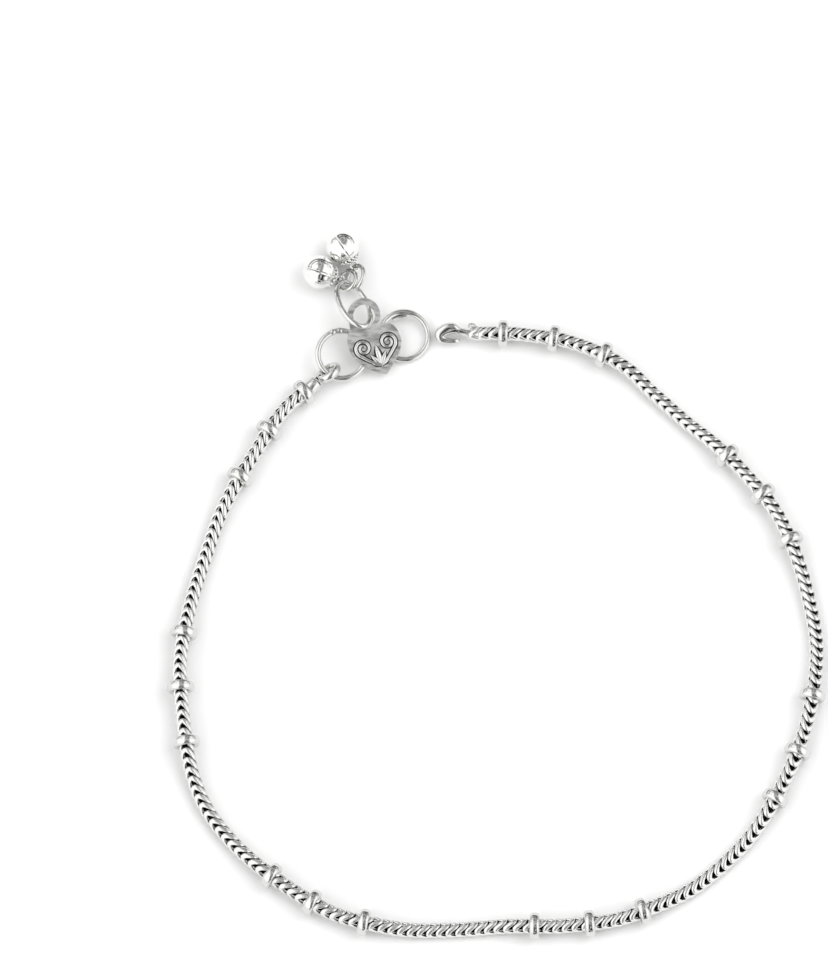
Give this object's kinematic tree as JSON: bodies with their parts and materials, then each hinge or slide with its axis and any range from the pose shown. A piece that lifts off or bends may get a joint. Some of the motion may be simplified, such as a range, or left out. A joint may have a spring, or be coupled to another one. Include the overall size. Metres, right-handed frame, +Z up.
{
  "type": "payal anklet",
  "caption": "Slim silver payal anklet: a round woven chain with ring beads, fastened by a hook in a ringed heart charm, with small bells on an oval drop link.",
  "frame": {"origin": "middle of the anklet's bounding box, on the surface it lies on", "axes": "+Z up out of the surface; +Y towards the clasp side, with the bells; +X to the right, seen from above with the clasp at the top"},
  "size_m": [0.0886, 0.0986, 0.0046],
  "materials": {
    "chain_silver": "woven silver wire, bright on the crests and dark in the gaps",
    "polished_silver": "smooth polished silver",
    "stamped_silver": "stamped silver sheet, satin face with polished relief"
  },
  "bodies": {
    "root": {"chain": "chain_silver", "bead_01": "polished_silver", "bead_02": "polished_silver", "bead_03": "polished_silver", "bead_04": "polished_silver", "bead_05": "polished_silver", "bead_06": "polished_silver", "bead_07": "polished_silver", "bead_08": "polished_silver", "bead_09": "polished_silver", "bead_10": "polished_silver", "bead_11": "polished_silver", "bead_12": "polished_silver", "bead_13": "polished_silver", "bead_14": "polished_silver", "bead_15": "polished_silver", "bead_16": "polished_silver", "bead_17": "polished_silver", "bead_18": "polished_silver", "bead_19": "polished_silver", "bead_20": "polished_silver", "bead_21": "polished_silver", "hook": "polished_silver", "end_eye": "polished_silver", "heart_charm": "stamped_silver", "drop_link": "polished_silver", "bell_ring_1": "polished_silver", "bell_ring_2": "polished_silver", "bell_1": "polished_silver", "bell_2": "polished_silver"}
  },
  "joints": []
}
